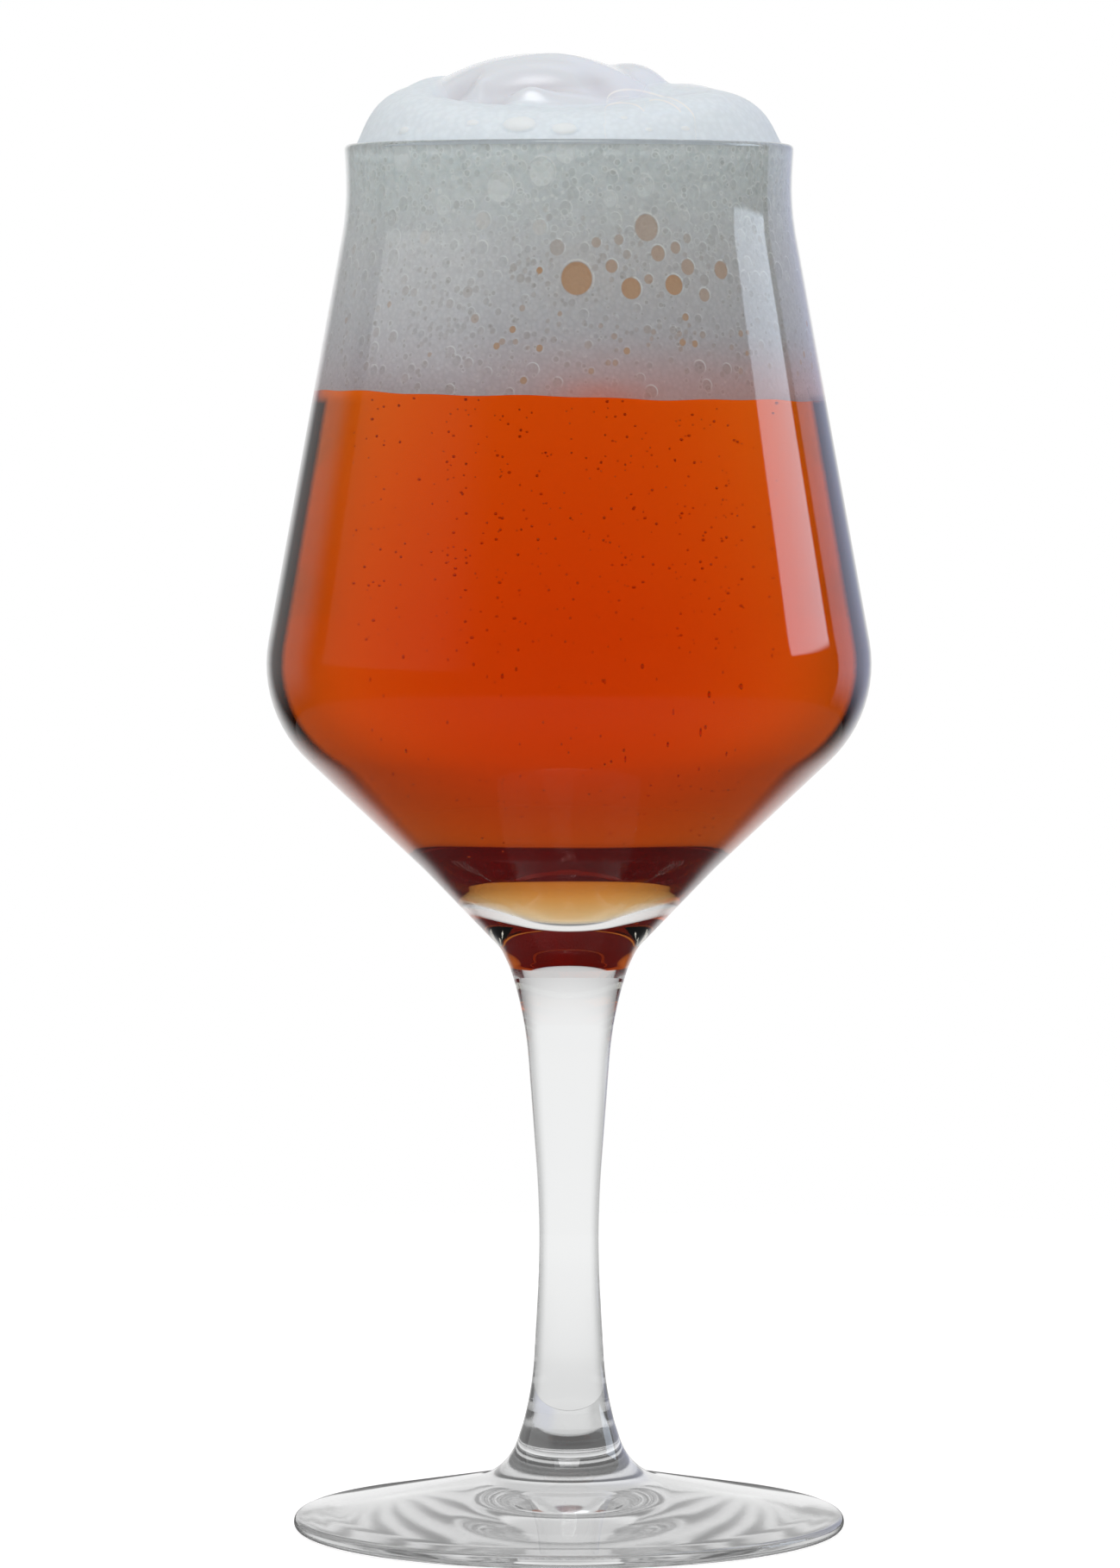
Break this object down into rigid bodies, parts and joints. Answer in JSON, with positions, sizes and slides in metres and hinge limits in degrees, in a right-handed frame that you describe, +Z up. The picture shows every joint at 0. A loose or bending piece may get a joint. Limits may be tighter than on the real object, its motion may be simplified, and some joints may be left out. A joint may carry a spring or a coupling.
{
  "type": "tulip beer glass",
  "caption": "Stemmed tulip glass with a thin tapered bowl, waisted stem and round foot, full of amber beer under a foam head that stands above the rim.",
  "frame": {"origin": "on the table, under the middle of the foot", "axes": "+Z up the stem to the rim, +X to the right and +Y away as the picture sees the glass"},
  "size_m": [0.087, 0.087, 0.2128],
  "materials": {
    "clear_glass": "clear, fire-polished",
    "amber_beer": "clear amber liquid",
    "wet_foam": "wet foam of fine bubbles",
    "dry_foam": "dry creamy foam"
  },
  "bodies": {
    "root": {"bowl": "clear_glass", "stem": "clear_glass", "foot": "clear_glass", "beer": "amber_beer", "foam_head": "wet_foam", "foam_cap": "dry_foam"}
  },
  "joints": []
}
